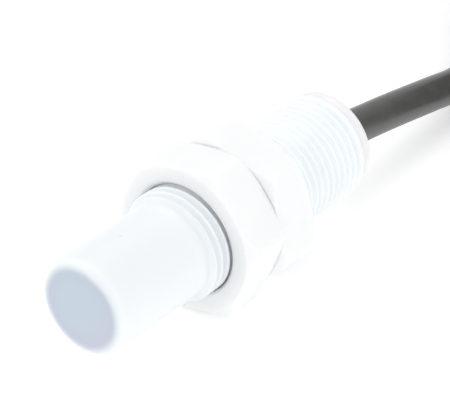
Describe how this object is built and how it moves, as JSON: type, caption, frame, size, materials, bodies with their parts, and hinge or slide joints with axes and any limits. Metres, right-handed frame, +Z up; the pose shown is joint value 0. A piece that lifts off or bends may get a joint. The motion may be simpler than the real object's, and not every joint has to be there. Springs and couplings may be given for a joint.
{
  "type": "proximity sensor",
  "caption": "Cylindrical threaded proximity sensor in a white plastic barrel with a smooth nose, two hexagonal lock nuts and a moulded-on round lead with bare cores.",
  "frame": {"origin": "on the surface that the sensor lies on, under the middle of the barrel and end cap", "axes": "+Y along the barrel from the sensing face to the lead, +Z up, +X across"},
  "size_m": [0.0396, 0.1639, 0.0219],
  "materials": {
    "barrel": "smooth white moulded fluoropolymer, slightly waxy",
    "cap": "translucent white moulded plastic",
    "nut": "white moulded plastic, fine satin",
    "grommet": "black moulded rubber",
    "brass": "drawn brass",
    "jacket": "dark grey extruded PVC, satin",
    "resin": "cast epoxy resin",
    "copper": "etched copper foil",
    "board": "green solder mask on glass laminate",
    "gold_plated_pin": "plated pin",
    "carrier": "natural moulded plastic",
    "shield": "tinned sheet",
    "chip_case": "moulded epoxy case",
    "tinned_lead": "bright tin",
    "tantalum": "moulded case",
    "ceramic_chip": "fired ceramic",
    "resistor": "glazed film on ceramic",
    "led": "clear amber lens",
    "solder": "solidified solder",
    "tie": "woven hook and loop band",
    "brown_core": "PVC core",
    "blue_core": "PVC core",
    "black_core": "PVC core"
  },
  "bodies": {
    "sensor": {"barrel": "barrel", "end_cap": "cap", "cable_grommet": "grommet", "cable_clamp": "brass", "cable_inner_end": "jacket", "rear_potting": "resin", "sensing_electrode": "copper", "guard_electrode": "copper", "electrode_board": "board", "electrode_pins": "gold_plated_pin", "board_carrier": "carrier", "shield_sleeve": "shield", "main_board": "board", "oscillator_chip": "chip_case", "oscillator_leads": "tinned_lead", "output_chip": "chip_case", "output_chip_leads": "tinned_lead", "output_transistor": "chip_case", "transistor_leads": "tinned_lead", "protection_diode": "chip_case", "smoothing_capacitor": "tantalum", "chip_capacitors": "ceramic_chip", "chip_resistors": "resistor", "indicator_leds": "led", "solder_joints": "solder", "inner_wire_brown": "brown_core", "inner_wire_blue": "blue_core", "inner_wire_black": "black_core", "cable_lead": "jacket", "cable_hank": "jacket", "hank_ties": "tie", "core_brown": "brown_core", "core_blue": "blue_core", "core_black": "black_core", "core_ferrules": "tinned_lead", "cable_tail": "jacket"},
    "front_nut": {"front_nut": "nut"},
    "rear_nut": {"rear_nut": "nut"}
  },
  "joints": [
    {"name": "front_nut_travel", "type": "slide", "parent": "sensor", "child": "front_nut", "axis": [0, 1, 0], "range_m": [-0.0025, 0]},
    {"name": "rear_nut_travel", "type": "slide", "parent": "sensor", "child": "rear_nut", "axis": [0, 1, 0], "range_m": [0, 0.012]}
  ]
}
